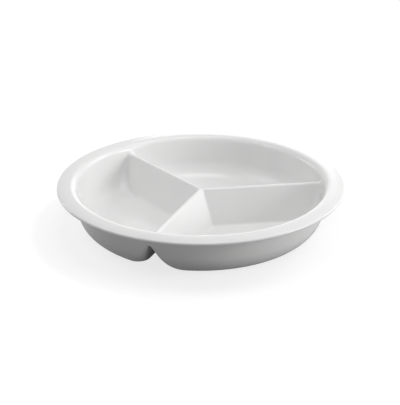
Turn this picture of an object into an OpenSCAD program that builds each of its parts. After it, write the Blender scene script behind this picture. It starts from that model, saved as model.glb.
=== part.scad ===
// Round divided serving pan in white glazed porcelain: three equal wells under one flat rim.
// Each well is a thin bowl of even wall, so the dividers are hollow: a groove runs under each of
// them and comes out through the outer wall as a notch.
// Millimetres, Z up, origin on the table under the centre, one divider along +X.

/* [Overall] */
// Diameter over the lip of the rim
rim_d = 390; // [370:1:420]
// Height from the table to the top of the rim
pan_h = 67; // [60:1:74]

/* [Rim] */
// Width of the rim, from the lip to where the slope of the outer wall would meet its top
rim_w = 25.5; // [21:0.5:34]
// Thickness of the flange at its rounded lip
flange_t = 4.5; // [3.5:0.5:7]
// Radius of the gentle crown across the top of the flange
crown_r = 70; // [50:5:120]
// Rounding of the inner edge of the rim
rim_edge_r = 9.5; // [5:0.5:12]
// Fillet under the flange, where it leaves the outer wall
neck_r = 4; // [2:0.5:6]

/* [Wells] */
// Thickness of every wall and floor
wall_t = 5; // [4:0.1:6]
// Lean of the outer wall from upright, in degrees
wall_lean = 10; // [6:0.5:16]
// Fillet between the outer wall and the floor of a well
wall_fillet = 30; // [20:1:38]
// Fillet between the flank of a divider and the floor of a well
flank_fillet = 6; // [4:0.5:12]
// Radius of the upright corner between flank and outer wall, at the floor
corner_floor_r = 12; // [8:1:18]
// Radius of the same corner under the crest
corner_top_r = 5; // [3:0.5:9]
// Radius of the valley where two flanks meet at the hub
valley_r = 4; // [2:0.5:7]

/* [Dividers] */
// Depth of the crests below the top of the rim
crest_drop = 12.5; // [10:0.5:16]
// Rounding along a crest
crest_r = 3.6; // [2.6:0.1:4.4]
// Lean of a divider's flanks from upright, in degrees
flank_lean = 23; // [19:0.5:28]
// Rounding along the top of the groove under a divider
groove_r = 2; // [1:0.1:2.8]
// Height of the crest bar, from the top of the wells to the crest
crest_bar_h = 4; // [3:0.1:5]
// Length of each arm of the hub
hub_arm = 14; // [10:1:24]

/* [Feet] */
// Height of the bare foot ring under a well
foot_h = 1.2; // [0.8:0.1:2]
// Width of the bare foot ring
foot_w = 6; // [4:0.5:9]

/* [Hidden] */
$fn = 180;

glaze = "white";
bare = "antiquewhite";

// Half the angle that each of the three wells fills, and the directions of the dividers
half_angle = 180 / 3;
angle_right = 0;
angle_back = 2 * half_angle;
angle_front = 4 * half_angle;

// Steps of the lofted walls: along half the outer wall, round a corner, round half the hub
// valley, up a fillet and over the top of a groove
arc_n = 16;
corner_n = 8;
valley_n = 2;
fillet_n = 10;
groove_n = 4;
// Steps of a rounding in the rim's and the crest's profile
round_n = 10;
// The underside's corners keep this share of the groove's half width, so they close at its top
corner_share = 0.9;

rim_r = rim_d / 2;
mouth_r = rim_r - rim_w;
floor_z = foot_h + wall_t;
crest_z = pan_h - crest_drop;
wells_z = crest_z - crest_bar_h;

// Where the two flanks of a divider would meet, above its rounded crest
apex_z = crest_z - crest_r + crest_r / sin(flank_lean);
// Centre and top of the rounding in the groove below
groove_z = apex_z - (wall_t + groove_r) / sin(flank_lean);
groove_top = groove_z + groove_r;

// Straight part of a flank: distance from the divider's middle plane, t behind the well's face
function flank_line(z, t) = (apex_z - z) * tan(flank_lean) - t / cos(flank_lean);

// Straight part of the outer wall: distance from the axis, t behind the well's face
function wall_line(z, t) = mouth_r - (pan_h - z) * tan(wall_lean) + t / cos(wall_lean);

// Half the chord of a circle, at distance d from its centre
function half_chord(r, d) = sqrt(max(r * r - d * d, 0));

// Flank with its fillet into the floor; the fillets of both faces share one centre
function flank_at(z, t) =
    let (r = flank_fillet + t, c_z = floor_z + flank_fillet, c_d = flank_line(c_z, -flank_fillet))
    z < c_z - r * sin(flank_lean) ? c_d - half_chord(r, c_z - z) : flank_line(z, t);

// Outer wall with its fillet into the floor
function wall_at(z, t) =
    let (r = wall_fillet + t, c_z = floor_z + wall_fillet, c_r = wall_line(c_z, -wall_fillet))
    z < c_z - r * sin(wall_lean) ? c_r + half_chord(r, c_z - z) : wall_line(z, t);

// Half width of the groove under a divider, closed above its rounded top
function groove_at(z) =
    let (up = z - groove_z)
    z >= groove_top ? 0
    : up > groove_r * sin(flank_lean) ? half_chord(groove_r, up)
    : flank_at(z, wall_t);

// Upright corner of a well, tighter towards the crest
function corner_at(z) =
    corner_top_r + (corner_floor_r - corner_top_r) * (wells_z - z) / (wells_z - floor_z);

// One point of an arc
function polar(r, a) = r * [cos(a), sin(a)];

// Half the plan of a well, its middle along +X: outer wall, corner, flank, hub valley
function half_plan(flank, wall, corner, valley) =
    let (
        off = flank + corner,
        turn = half_angle - asin(off / (wall - corner)),
        along = sqrt((wall - corner) * (wall - corner) - off * off),
        centre = polar(along, half_angle) + polar(off, half_angle - 90),
        hub = [(flank + valley) / sin(half_angle), 0],
        flank_a = half_angle + 90
    )
    concat(
        [for (i = [0 : arc_n]) polar(wall, turn * i / arc_n)],
        [for (i = [1 : corner_n]) centre + polar(corner, turn + (flank_a - turn) * i / corner_n)],
        [for (i = [0 : valley_n]) hub + polar(valley, flank_a + (180 - flank_a) * i / valley_n)]
    );

// Whole plan: the half and its mirror image, without the two points on the middle line twice
function plan(flank, wall, corner, valley) =
    let (half = half_plan(flank, wall, corner, valley), last = len(half) - 1)
    concat(half, [for (i = [last - 1 : -1 : 1]) [half[i].x, -half[i].y]]);

// Plan of a well's inside at height z
function inside_plan(z) = plan(flank_at(z, 0), wall_at(z, 0), corner_at(z), valley_r);

// Plan of a well's underside at height z, drawn in by inset all round
function under_plan(z, inset = 0) =
    let (
        groove = groove_at(z),
        most = corner_share * groove,
        corner = max(min(corner_at(z) + wall_t, most) - inset, inset / 2),
        valley = max(min(valley_r + wall_t, most) - inset, inset / 2)
    )
    plan(groove + inset, wall_at(z, wall_t) - inset, corner, valley);

// Heights of the loft's sections, close together where a fillet turns
function fillet_levels(z, r) =
    [for (i = [0 : fillet_n]) z + r * (1 - cos((90 - wall_lean) * i / fillet_n))];

inside_levels = concat(fillet_levels(floor_z, wall_fillet), [wells_z]);
groove_levels = [
    for (i = [0 : groove_n])
        groove_z + groove_r * sin(flank_lean + (90 - flank_lean) * i / groove_n)
];
under_levels = concat(fillet_levels(foot_h, wall_fillet + wall_t), groove_levels, [wells_z]);

// A section as points in space
function raised(points, z) = [for (p = points) [p.x, p.y, z]];

// Closed strip of triangles between each ring of n points and the next
function strips(rings, n) = [
    for (k = [0 : rings - 2], i = [0 : n - 1], half = [0, 1])
        let (a = k * n + i, b = k * n + (i + 1) % n)
        half == 0 ? [a, a + n, b] : [b, a + n, b + n]
];

// One well, its middle along +X: down the inside, and up the underside to the flat top again
module well_bowl() {
    inside = [for (k = [len(inside_levels) - 1 : -1 : 0]) inside_levels[k]];
    rings = concat(
        [for (z = under_levels) raised(under_plan(z), z)],
        [for (z = inside) raised(inside_plan(z), z)]
    );
    n = len(rings[0]);
    last = (len(rings) - 1) * n;
    base = [for (i = [1 : n - 2]) [0, i, i + 1]];
    floor_cap = [for (i = [1 : n - 2]) [last, last + i + 1, last + i]];
    polyhedron(
        points = [for (ring = rings, p = ring) p],
        faces = concat(strips(len(rings), n), base, floor_cap)
    );
}

// Arc of the rim's or the crest's profile, from angle a to angle b
function rounding(centre, r, a, b) =
    [for (i = [0 : round_n]) centre + polar(r, a + (b - a) * i / round_n)];

// Rim: flange with a crowned top and a round lip, on the collar that crowns the outer wall
lip_r = flange_t / 2;
edge_c = [wall_line(pan_h - rim_edge_r, rim_edge_r), pan_h - rim_edge_r];
crown_c = [edge_c.x, pan_h - crown_r];
crown_a = acos((rim_r - lip_r - crown_c.x) / (crown_r - lip_r));
lip_c = crown_c + polar(crown_r - lip_r, crown_a);
flange_z = lip_c.y - lip_r;
neck_c = [wall_line(flange_z - neck_r, wall_t + neck_r), flange_z - neck_r];

module rim_profile() {
    polygon(concat(
        [[wall_line(wells_z, 0), wells_z], [wall_line(wells_z, wall_t), wells_z]],
        rounding(neck_c, neck_r, 180 - wall_lean, 90),
        rounding(lip_c, lip_r, -90, crown_a),
        rounding(crown_c, crown_r, crown_a, 90),
        rounding(edge_c, rim_edge_r, 90, 180 - wall_lean)
    ));
}

module rim() {
    color(glaze) rotate_extrude() rim_profile();
}

// Crest bar of a divider in section: flanks that go on from the wells below, and a round crest
module crest_profile() {
    foot = flank_line(wells_z, 0);
    polygon(concat(
        [[-foot, wells_z], [foot, wells_z]],
        rounding([0, crest_z - crest_r], crest_r, flank_lean, 180 - flank_lean)
    ));
}

// Length of crest bar along +X, from one distance to another
module crest_bar(from, to) {
    translate([from, 0, 0])
        rotate([90, 0, 90])
            linear_extrude(to - from)
                crest_profile();
}

// Space inside the rim's collar, which the crest bars run out to
module collar_bore() {
    translate([0, 0, wells_z])
        cylinder(h = pan_h - wells_z, r1 = wall_line(wells_z, 0), r2 = wall_line(pan_h, 0));
}

module divider(a) {
    color(glaze)
        rotate([0, 0, a])
            intersection() {
                crest_bar(hub_arm, mouth_r);
                collar_bore();
            }
}

module hub() {
    color(glaze)
        for (a = [angle_right, angle_back, angle_front])
            rotate([0, 0, a])
                crest_bar(0, hub_arm);
}

// Bare foot: a low ring along the edge of a well's flat base
module foot_ring() {
    linear_extrude(foot_h)
        difference() {
            polygon(under_plan(foot_h));
            polygon(under_plan(foot_h, foot_w));
        }
}

module well(a) {
    color(glaze) rotate([0, 0, a]) well_bowl();
}

module foot(a) {
    color(bare) rotate([0, 0, a]) foot_ring();
}

rim();
well(angle_right + half_angle);  // well_back
well(angle_back + half_angle);  // well_left
well(angle_front + half_angle);  // well_right
divider(angle_right);  // divider_right
divider(angle_back);  // divider_back
divider(angle_front);  // divider_front
hub();
foot(angle_right + half_angle);  // foot_back
foot(angle_back + half_angle);  // foot_left
foot(angle_front + half_angle);  // foot_right
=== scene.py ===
from math import acos, asin, atan2, cos, pi, radians, sin, sqrt, tan

import bmesh
import bpy
from mathutils import Matrix, Vector


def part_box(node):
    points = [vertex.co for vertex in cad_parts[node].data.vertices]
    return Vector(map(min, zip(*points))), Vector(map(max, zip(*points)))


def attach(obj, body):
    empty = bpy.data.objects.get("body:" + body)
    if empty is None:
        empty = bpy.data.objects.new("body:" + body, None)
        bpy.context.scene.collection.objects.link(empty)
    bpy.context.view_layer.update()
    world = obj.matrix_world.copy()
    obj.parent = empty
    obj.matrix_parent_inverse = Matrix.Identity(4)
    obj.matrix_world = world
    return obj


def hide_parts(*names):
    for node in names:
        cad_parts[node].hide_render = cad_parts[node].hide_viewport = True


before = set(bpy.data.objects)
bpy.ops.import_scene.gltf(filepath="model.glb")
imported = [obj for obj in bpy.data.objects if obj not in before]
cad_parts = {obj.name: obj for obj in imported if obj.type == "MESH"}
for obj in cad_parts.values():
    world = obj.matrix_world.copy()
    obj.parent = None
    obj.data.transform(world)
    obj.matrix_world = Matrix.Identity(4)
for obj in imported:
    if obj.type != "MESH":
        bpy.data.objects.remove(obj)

scene = bpy.context.scene
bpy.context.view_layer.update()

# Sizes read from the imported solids
RIM_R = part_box("rim")[1].x
PAN_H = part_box("rim")[1].z
WELLS_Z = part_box("well_back")[1].z
CREST_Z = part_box("hub")[1].z
FOOT_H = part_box("foot_back")[1].z
HUB_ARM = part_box("divider_right")[0].x

# Sizes that the solids were made with
RIM_W = 0.0255
FLANGE_T = 0.0045
CROWN_R = 0.070
RIM_EDGE_R = 0.0095
NECK_R = 0.004
WALL_T = 0.005
WALL_LEAN = radians(10)
WALL_FILLET = 0.030
FLANK_FILLET = 0.006
CORNER_FLOOR_R = 0.012
CORNER_TOP_R = 0.005
VALLEY_R = 0.004
CREST_R = 0.0036
FLANK_LEAN = radians(23)
GROOVE_R = 0.002
FOOT_W = 0.006
CORNER_SHARE = 0.9

# Finer forms that only the surface shows
FLARE_R = 0.0056
FOOT_EDGE_R = 0.0004
FOOT_EDGE_MID = 0.3 * FOOT_EDGE_R

# Directions of the dividers and of the middles of the wells
HALF_WELL = pi / 3
DIVIDERS = {"divider_right": 0.0, "divider_back": 2 * HALF_WELL, "divider_front": 4 * HALF_WELL}
WELLS = {"back": HALF_WELL, "left": 3 * HALF_WELL, "right": 5 * HALF_WELL}

# Steps of the meshes
ARC_N = 48
CORNER_N = 16
FLANK_N = 16
VALLEY_N = 6
FILLET_N = 20
WALL_N = 6
ROUND_N = 12
CROWN_N = 16
RIM_N = 480
BAR_N = 14
MERGE = 1e-7
SHARP = radians(40)

MOUTH_R = RIM_R - RIM_W
FLOOR_Z = FOOT_H + WALL_T
APEX_Z = CREST_Z - CREST_R + CREST_R / sin(FLANK_LEAN)
GROOVE_Z = APEX_Z - (WALL_T + GROOVE_R) / sin(FLANK_LEAN)
GROOVE_TOP = GROOVE_Z + GROOVE_R


# Lines of the walls
def flank_line(z, t):
    """Straight flank: distance from the divider's middle plane, t behind the well's face."""
    return (APEX_Z - z) * tan(FLANK_LEAN) - t / cos(FLANK_LEAN)


def wall_line(z, t):
    """Straight outer wall: distance from the axis, t behind the well's face."""
    return MOUTH_R - (PAN_H - z) * tan(WALL_LEAN) + t / cos(WALL_LEAN)


def flank_at(z, t):
    """Flank with its fillet into the floor."""
    r = FLANK_FILLET + t
    up = FLOOR_Z + FLANK_FILLET - z
    if up <= r * sin(FLANK_LEAN):
        return flank_line(z, t)
    return flank_line(FLOOR_Z + FLANK_FILLET, -FLANK_FILLET) - sqrt(max(r * r - up * up, 0.0))


def wall_at(z, t):
    """Outer wall with its fillet into the floor."""
    r = WALL_FILLET + t
    up = FLOOR_Z + WALL_FILLET - z
    if up <= r * sin(WALL_LEAN):
        return wall_line(z, t)
    return wall_line(FLOOR_Z + WALL_FILLET, -WALL_FILLET) + sqrt(max(r * r - up * up, 0.0))


def groove_at(z):
    """Half width of the groove under a divider, closed above its rounded top."""
    up = z - GROOVE_Z
    if z >= GROOVE_TOP - MERGE:
        return 0.0
    if up > GROOVE_R * sin(FLANK_LEAN):
        return sqrt(GROOVE_R * GROOVE_R - up * up)
    return flank_at(z, WALL_T)


def corner_at(z):
    """Upright corner of a well, tighter towards the crest."""
    rise = (WELLS_Z - z) / (WELLS_Z - FLOOR_Z)
    return CORNER_TOP_R + (CORNER_FLOOR_R - CORNER_TOP_R) * rise


# Plans of a well, its middle along +X
def polar(r, a):
    return Vector((r * cos(a), r * sin(a)))


def arc(centre, r, start, end, n):
    """Points of an arc from one angle to another."""
    return [centre + polar(r, start + (end - start) * i / n) for i in range(n + 1)]


def half_plan(flank, wall, corner, valley):
    """Half a well: along the outer wall, round the corner, along the flank, round the valley."""
    off = flank + corner
    turn = HALF_WELL - asin(off / (wall - corner))
    along = sqrt((wall - corner) ** 2 - off * off)
    centre = polar(along, HALF_WELL) + polar(off, HALF_WELL - pi / 2)
    hub = Vector(((flank + valley) / sin(HALF_WELL), 0))
    flank_a = HALF_WELL + pi / 2
    wall_points = arc(Vector((0, 0)), wall, 0, turn, ARC_N)
    corner_points = arc(centre, corner, turn, flank_a, CORNER_N)
    valley_points = arc(hub, valley, flank_a, pi, VALLEY_N)
    far, near = corner_points[-1], valley_points[0]
    flank_points = [far.lerp(near, i / FLANK_N) for i in range(1, FLANK_N)]
    return wall_points + corner_points[1:] + flank_points + valley_points


def plan(flank, wall, corner, valley):
    """A whole well: the half and its mirror image."""
    half = half_plan(flank, wall, corner, valley)
    return half + [Vector((p.x, -p.y)) for p in half[-2:0:-1]]


def inside_plan(z):
    return plan(flank_at(z, 0), wall_at(z, 0), corner_at(z), VALLEY_R)


def under_plan(z, inset=0.0):
    """Underside of a well at height z, drawn in by inset all round."""
    groove = groove_at(z)
    most = CORNER_SHARE * groove
    corner = max(min(corner_at(z) + WALL_T, most) - inset, inset / 2)
    valley = max(min(VALLEY_R + WALL_T, most) - inset, inset / 2)
    return plan(groove + inset, wall_at(z, WALL_T) - inset, corner, valley)


def fillet_levels(z, r, lean):
    """Heights up a fillet that starts level at z."""
    return [z + r * (1 - cos((pi / 2 - lean) * i / FILLET_N)) for i in range(FILLET_N + 1)]


def levels(z, t, top):
    """Heights of a face t behind the well's face: both fillets, then evenly up to the top."""
    low = fillet_levels(z, WALL_FILLET + t, WALL_LEAN)
    low += fillet_levels(z, FLANK_FILLET + t, FLANK_LEAN)
    start = max(low)
    return sorted(low + [start + (top - start) * (i + 1) / WALL_N for i in range(WALL_N)])


# Meshes
def raised(points, z):
    return [Vector((p.x, p.y, z)) for p in points]


def bridge(mesh, rings, closed=True):
    """Quads between each ring of vertices and the next."""
    for low, high in zip(rings, rings[1:]):
        n = len(low)
        for i in range(n if closed else n - 1):
            j = (i + 1) % n
            mesh.faces.new([low[i], low[j], high[j], high[i]])


def add_rings(mesh, rings):
    return [[mesh.verts.new(p) for p in ring] for ring in rings]


def add_piece(name, mesh, turn, material):
    """Cleans and turns a mesh, and shows it in place of the solid of that name."""
    bmesh.ops.remove_doubles(mesh, verts=mesh.verts, dist=MERGE)
    bmesh.ops.dissolve_degenerate(mesh, edges=mesh.edges, dist=MERGE)
    bmesh.ops.recalc_face_normals(mesh, faces=mesh.faces)
    bmesh.ops.rotate(mesh, verts=mesh.verts, matrix=Matrix.Rotation(turn, 3, "Z"))
    data = bpy.data.meshes.new(name)
    mesh.to_mesh(data)
    mesh.free()
    data.polygons.foreach_set("use_smooth", [True] * len(data.polygons))
    data.set_sharp_from_angle(angle=SHARP)
    data.materials.append(material)
    piece = bpy.data.objects.new(name + "_skin", data)
    scene.collection.objects.link(piece)
    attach(piece, "root")
    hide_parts(name)


def make_well(name, turn, material):
    """Bowl of even wall: up the underside, over the flat joint at the top and down the inside."""
    mesh = bmesh.new()
    under = levels(FOOT_H, WALL_T, GROOVE_Z + GROOVE_R * sin(FLANK_LEAN))
    lean_up = pi / 2 - FLANK_LEAN
    under += [
        GROOVE_Z + GROOVE_R * sin(FLANK_LEAN + lean_up * (i + 1) / ROUND_N) for i in range(ROUND_N)
    ]
    under.append(WELLS_Z)
    inside = levels(FLOOR_Z, 0, WELLS_Z)
    rings = [raised(under_plan(z), z) for z in under]
    rings += [raised(inside_plan(z), z) for z in reversed(inside)]
    made = add_rings(mesh, rings)
    bridge(mesh, made)
    mesh.faces.new(made[0])
    mesh.faces.new(made[-1])
    add_piece(name, mesh, turn, material)


def make_foot(name, turn, material):
    """Bare ring along the edge of a well's base, with its lower edges eased."""
    mesh = bmesh.new()
    ease = [(0.0, FOOT_EDGE_R), (FOOT_EDGE_MID, FOOT_EDGE_MID), (FOOT_EDGE_R, 0.0)]
    section = [(0.0, FOOT_H)] + ease
    section += [(FOOT_W - inset, z) for inset, z in reversed(section)]
    rings = [raised(under_plan(FOOT_H, inset), z) for inset, z in section]
    made = add_rings(mesh, rings)
    bridge(mesh, made + made[:1])
    add_piece(name, mesh, turn, material)


def rim_profile():
    """Collar, neck, flange, round lip, crowned top and rounded inner edge, as radius and height."""
    lip_r = FLANGE_T / 2
    edge = Vector((wall_line(PAN_H - RIM_EDGE_R, RIM_EDGE_R), PAN_H - RIM_EDGE_R))
    crown = Vector((edge.x, PAN_H - CROWN_R))
    crown_a = acos((RIM_R - lip_r - crown.x) / (CROWN_R - lip_r))
    lip = crown + polar(CROWN_R - lip_r, crown_a)
    flange_z = lip.y - lip_r
    neck = Vector((wall_line(flange_z - NECK_R, WALL_T + NECK_R), flange_z - NECK_R))
    points = [Vector((wall_line(WELLS_Z, t), WELLS_Z)) for t in (0, WALL_T)]
    points += arc(neck, NECK_R, pi - WALL_LEAN, pi / 2, ROUND_N)
    points += arc(lip, lip_r, -pi / 2, crown_a, 2 * ROUND_N)
    points += arc(crown, CROWN_R, crown_a, pi / 2, CROWN_N)[1:]
    points += arc(edge, RIM_EDGE_R, pi / 2, pi - WALL_LEAN, ROUND_N)[1:]
    return points


def make_rim(material):
    mesh = bmesh.new()
    profile = rim_profile()
    rings = []
    for i in range(RIM_N):
        a = 2 * pi * i / RIM_N
        rings.append([Vector((p.x * cos(a), p.x * sin(a), p.y)) for p in profile])
    made = add_rings(mesh, rings)
    bridge(mesh, made + made[:1])
    add_piece("rim", mesh, 0, material)


def crest_rows():
    """Half a crest in section, from its top to the wells: offset, height and outward normal."""
    rows = []
    for i in range(ROUND_N + 1):
        a = pi / 2 + (FLANK_LEAN - pi / 2) * i / ROUND_N
        rows.append((CREST_R * cos(a), CREST_Z - CREST_R + CREST_R * sin(a), cos(a), sin(a)))
    start = rows[-1][1]
    for i in range(WALL_N):
        z = start + (WELLS_Z - start) * (i + 1) / WALL_N
        rows.append((flank_line(z, 0), z, cos(FLANK_LEAN), sin(FLANK_LEAN)))
    return rows


def ball_path(d, z, n_d, n_z, r):
    """Arc of a ball that rolls between the crest and the outer wall, from one to the other."""
    c_d, c_z = d + r * n_d, z + r * n_z
    c_r = wall_line(c_z, -r)
    c_s = sqrt(c_r * c_r - c_d * c_d)
    centre = Vector((c_s, c_d, c_z))
    down = Vector((0, -n_d, -n_z))
    out = Vector((c_s, c_d, 0)).normalized() * cos(WALL_LEAN) - Vector((0, 0, sin(WALL_LEAN)))
    return [centre + r * down.slerp(out, i / CORNER_N) for i in range(CORNER_N + 1)]


def level_path(d, z, r):
    """Level arc between the flank and the outer wall, as the well below has it."""
    off = d + r
    wall = wall_line(z, 0)
    along = sqrt((wall - r) ** 2 - off * off)
    points = arc(Vector((along, off)), r, -pi / 2, atan2(off, along), CORNER_N)
    return raised(points, z)


def crest_paths():
    """Lines along one side of a crest, from the hub's arm to the outer wall, top line first."""
    rows = crest_rows()
    paths = []
    for k, (d, z, n_d, n_z) in enumerate(rows):
        share = k / (len(rows) - 1)
        share = share * share * (3 - 2 * share)
        r = FLARE_R + (CORNER_TOP_R - FLARE_R) * share
        ball = ball_path(d, z, n_d, n_z, r)
        flat = level_path(d, z, CORNER_TOP_R)
        end = [a.lerp(b, share) for a, b in zip(ball, flat)]
        start = Vector((HUB_ARM, d, z))
        paths.append([start.lerp(end[0], i / BAR_N) for i in range(BAR_N)] + end)
    return paths


def mirrored(points):
    return [Vector((p.x, -p.y, p.z)) for p in points]


def make_divider(name, turn, material):
    """Crest of a divider, with an end that flares up and sideways into the outer wall."""
    mesh = bmesh.new()
    paths = crest_paths()
    lines = [mirrored(p) for p in reversed(paths[1:])] + paths
    made = add_rings(mesh, lines)
    bridge(mesh, made + made[:1], closed=False)
    half = len(paths) - 1
    for end in (0, -1):
        left = [made[half - k][end] for k in range(1, half + 1)]
        right = [made[half + k][end] for k in range(1, half + 1)]
        mesh.faces.new([made[half][end], left[0], right[0]])
        bridge(mesh, [left, right], closed=False)
    add_piece(name, mesh, turn, material)


def make_hub(material):
    """Crest where the dividers meet, with rounded valleys between its arms."""
    mesh = bmesh.new()
    loops = []
    for d, z, _, _ in crest_rows():
        loop = []
        centre = Vector(((d + VALLEY_R) / sin(HALF_WELL), 0))
        flank_a = HALF_WELL + pi / 2
        bend = arc(centre, VALLEY_R, flank_a, 2 * pi - flank_a, 2 * VALLEY_N)
        start = polar(HUB_ARM, HALF_WELL) + polar(d, HALF_WELL - pi / 2)
        side = [start.lerp(bend[0], i / VALLEY_N) for i in range(VALLEY_N)]
        sector = side + bend + [Vector((p.x, -p.y)) for p in reversed(side)]
        for turn in WELLS.values():
            spin = Matrix.Rotation(turn, 2)
            loop += [spin @ p for p in reversed(sector)]
        loops.append(raised(loop, z))
    made = add_rings(mesh, loops)
    bridge(mesh, made)
    mesh.faces.new(made[-1])
    mesh.faces.new(made[0])
    add_piece("hub", mesh, 0, material)


# Materials
NOISE_LOW = 0.3
NOISE_HIGH = 0.7
PATCH_DETAIL = 3
GRAIN_DETAIL = 4
BUMP_STRENGTH = 0.5
GLAZE_IOR = 1.5


def new_material(name):
    material = bpy.data.materials.new(name)
    material.use_nodes = True
    nodes = material.node_tree.nodes
    nodes.clear()
    return material, nodes, material.node_tree.links


def add_noise(nodes, links, coords, scale, detail):
    noise = nodes.new("ShaderNodeTexNoise")
    noise.inputs["Scale"].default_value = scale
    noise.inputs["Detail"].default_value = detail
    links.new(coords.outputs["Object"], noise.inputs["Vector"])
    return noise


def add_ramp(nodes, links, source, low, high):
    """Colours between low and high, following the middle of a noise's range."""
    ramp = nodes.new("ShaderNodeValToRGB")
    ramp.color_ramp.elements[0].position = NOISE_LOW
    ramp.color_ramp.elements[1].position = NOISE_HIGH
    ramp.color_ramp.elements[0].color = (*low, 1)
    ramp.color_ramp.elements[1].color = (*high, 1)
    links.new(source.outputs["Fac"], ramp.inputs["Fac"])
    return ramp


def add_range(nodes, links, source, low, high):
    span = nodes.new("ShaderNodeMapRange")
    span.inputs["From Min"].default_value = NOISE_LOW
    span.inputs["From Max"].default_value = NOISE_HIGH
    span.inputs["To Min"].default_value = low
    span.inputs["To Max"].default_value = high
    links.new(source.outputs["Fac"], span.inputs["Value"])
    return span


def add_bump(nodes, links, source, height):
    bump = nodes.new("ShaderNodeBump")
    bump.inputs["Strength"].default_value = BUMP_STRENGTH
    bump.inputs["Distance"].default_value = height
    links.new(source.outputs["Fac"], bump.inputs["Height"])
    return bump


def porcelain(name, low, high, patch, roughness, grain, height):
    """Porcelain whose colour varies in patches, and its gloss and surface in a fine grain."""
    material, nodes, links = new_material(name)
    coords = nodes.new("ShaderNodeTexCoord")
    shader = nodes.new("ShaderNodeBsdfPrincipled")
    out = nodes.new("ShaderNodeOutputMaterial")
    broad = add_noise(nodes, links, coords, patch, PATCH_DETAIL)
    fine = add_noise(nodes, links, coords, grain, GRAIN_DETAIL)
    colour = add_ramp(nodes, links, broad, low, high)
    gloss = add_range(nodes, links, fine, *roughness)
    bump = add_bump(nodes, links, fine, height)
    links.new(colour.outputs["Color"], shader.inputs["Base Color"])
    links.new(gloss.outputs["Result"], shader.inputs["Roughness"])
    links.new(bump.outputs["Normal"], shader.inputs["Normal"])
    links.new(shader.outputs["BSDF"], out.inputs["Surface"])
    return material


glaze = porcelain(
    "glazed_porcelain",
    low=(0.845, 0.848, 0.845),
    high=(0.872, 0.872, 0.866),
    patch=22,
    roughness=(0.18, 0.216),
    grain=70,
    height=0.00002,
)
glaze.node_tree.nodes["Principled BSDF"].inputs["IOR"].default_value = GLAZE_IOR
bare = porcelain(
    "bare_porcelain",
    low=(0.78, 0.755, 0.70),
    high=(0.84, 0.82, 0.78),
    patch=60,
    roughness=(0.65, 0.8),
    grain=900,
    height=0.00005,
)

for side, direction in WELLS.items():
    make_well("well_" + side, direction, glaze)
    make_foot("foot_" + side, direction, bare)
for node, direction in DIVIDERS.items():
    make_divider(node, direction, glaze)
make_rim(glaze)
make_hub(glaze)


# Camera of the photo, as fitted to the rim, the crests and the outline
IMAGE_W = 400
IMAGE_H = 405
FOCAL_PX = 1178
VIEW_AZIMUTH = radians(-7.86)
VIEW_ELEVATION = radians(22.83)
VIEW_ROLL = radians(-0.14)
VIEW_DISTANCE = 1.605
LIP_DROP = 0.0040
LIP_CENTRE_PX = (200.7, 182.8)


def toward(azimuth, elevation):
    """Direction from the pan to a point seen at that azimuth and elevation."""
    flat = cos(elevation)
    return Vector((sin(azimuth) * flat, -cos(azimuth) * flat, sin(elevation)))


def make_camera():
    lens = bpy.data.cameras.new("camera")
    lens.lens = FOCAL_PX / IMAGE_H * lens.sensor_width
    camera = bpy.data.objects.new("camera", lens)
    scene.collection.objects.link(camera)
    lip_centre = Vector((0, 0, PAN_H - LIP_DROP))
    camera.location = lip_centre + toward(VIEW_AZIMUTH, VIEW_ELEVATION) * VIEW_DISTANCE
    facing = (lip_centre - camera.location).to_track_quat("-Z", "Y")
    metres_per_px = VIEW_DISTANCE / FOCAL_PX
    right = (LIP_CENTRE_PX[0] - IMAGE_W / 2) * metres_per_px
    up = (IMAGE_H / 2 - LIP_CENTRE_PX[1]) * metres_per_px
    aim = lip_centre - facing @ Vector((right, up, 0))
    camera.rotation_mode = "QUATERNION"
    facing = (aim - camera.location).to_track_quat("-Z", "Y")
    camera.rotation_quaternion = facing @ Matrix.Rotation(VIEW_ROLL, 3, "Z").to_quaternion()
    scene.camera = camera


make_camera()

# Studio: square softboxes round the pan, by azimuth from the camera, elevation and watts
SOFTBOXES = {
    "top": (0, 89, 4.8),
    "right_low": (75, 15, 9.8),
    "right_high": (90, 60, 3.9),
    "back_right": (120, 32, 4.6),
    "back_low": (174, 15, 1.4),
    "back_left": (240, 12, 3.2),
    "left_high": (268, 49, 3.4),
}
BOX_DISTANCE = 1.6
BOX_SIDE = 0.7
WORLD_FILL = 0.265
FLOOR_COLOUR = (0.3, 0.3, 0.3, 1)
FLOOR_GLOW = 0.85
# Reach of the ambient occlusion that paints a shadow into the floor's glow, and how pale that
# painted shadow stays to the camera
SHADOW_REACH = 0.08
SHADOW_PALE = 0.9
FLOOR_HALF = 6.0


def make_softbox(name, azimuth, elevation, watts):
    lamp = bpy.data.lights.new(name, "AREA")
    lamp.shape = "SQUARE"
    lamp.size = BOX_SIDE
    lamp.energy = watts
    holder = bpy.data.objects.new(name, lamp)
    scene.collection.objects.link(holder)
    side = toward(VIEW_AZIMUTH + radians(azimuth), radians(elevation))
    holder.location = side * BOX_DISTANCE
    holder.rotation_mode = "QUATERNION"
    holder.rotation_quaternion = (-side).to_track_quat("-Z", "Y")


def add_math(nodes, links, operation, first, second):
    """Math of two values, each a socket or a plain number."""
    node = nodes.new("ShaderNodeMath")
    node.operation = operation
    for socket, value in zip(node.inputs, (first, second)):
        if isinstance(value, float):
            socket.default_value = value
        else:
            links.new(value, socket)
    return node.outputs[0]


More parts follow.
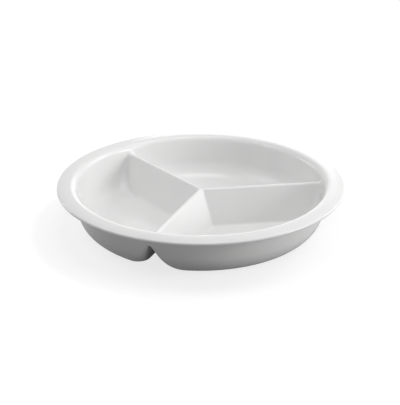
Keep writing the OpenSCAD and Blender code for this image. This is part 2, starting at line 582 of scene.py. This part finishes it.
def seen_directly(nodes, links, path):
    """1 for rays of the camera and of reflections, 0 for rays that carry light between surfaces."""
    either = add_math(nodes, links, "MAXIMUM", path["Is Camera Ray"], path["Is Glossy Ray"])
    return add_math(nodes, links, "MAXIMUM", either, path["Is Transmission Ray"])


def make_floor():
    """Pale matt floor whose glow is white to the camera. The matt part takes the pan's real shadow,
    and ambient occlusion darkens the glow near and under the pan as a painted shadow, paler to the
    camera than in reflections.
    """
    material, nodes, links = new_material("floor")
    path = nodes.new("ShaderNodeLightPath").outputs
    matt = nodes.new("ShaderNodeBsdfDiffuse")
    matt.inputs["Color"].default_value = FLOOR_COLOUR
    # Ambient occlusion darkens the floor's glow near and under the pan: a painted shadow, also seen
    # in the pan's reflections
    cover = nodes.new("ShaderNodeAmbientOcclusion")
    cover.inputs["Distance"].default_value = SHADOW_REACH
    pale = add_math(nodes, links, "MULTIPLY", path["Is Camera Ray"], SHADOW_PALE)
    shade = add_math(nodes, links, "MAXIMUM", cover.outputs["AO"], pale)
    level = add_math(nodes, links, "MULTIPLY", seen_directly(nodes, links, path), FLOOR_GLOW)
    glow = nodes.new("ShaderNodeEmission")
    links.new(add_math(nodes, links, "MULTIPLY", level, shade), glow.inputs["Strength"])
    both = nodes.new("ShaderNodeAddShader")
    out = nodes.new("ShaderNodeOutputMaterial")
    links.new(matt.outputs[0], both.inputs[0])
    links.new(glow.outputs[0], both.inputs[1])
    links.new(both.outputs[0], out.inputs["Surface"])
    half = FLOOR_HALF
    corners = [(-half, -half, 0), (half, -half, 0), (half, half, 0), (-half, half, 0)]
    data = bpy.data.meshes.new("floor")
    data.from_pydata(corners, [], [(0, 1, 2, 3)])
    data.materials.append(material)
    floor = bpy.data.objects.new("floor", data)
    scene.collection.objects.link(floor)


def make_world():
    world = bpy.data.worlds.new("studio")
    scene.world = world
    world.use_nodes = True
    nodes, links = world.node_tree.nodes, world.node_tree.links
    path = nodes.new("ShaderNodeLightPath").outputs
    span = nodes.new("ShaderNodeMapRange")
    span.inputs["To Min"].default_value = WORLD_FILL
    span.inputs["To Max"].default_value = 1.0
    links.new(seen_directly(nodes, links, path), span.inputs["Value"])
    background = nodes["Background"]
    background.inputs["Color"].default_value = (1, 1, 1, 1)
    links.new(span.outputs["Result"], background.inputs["Strength"])


for label, place in SOFTBOXES.items():
    make_softbox(label, *place)
make_floor()
make_world()
scene.view_settings.view_transform = "Standard"
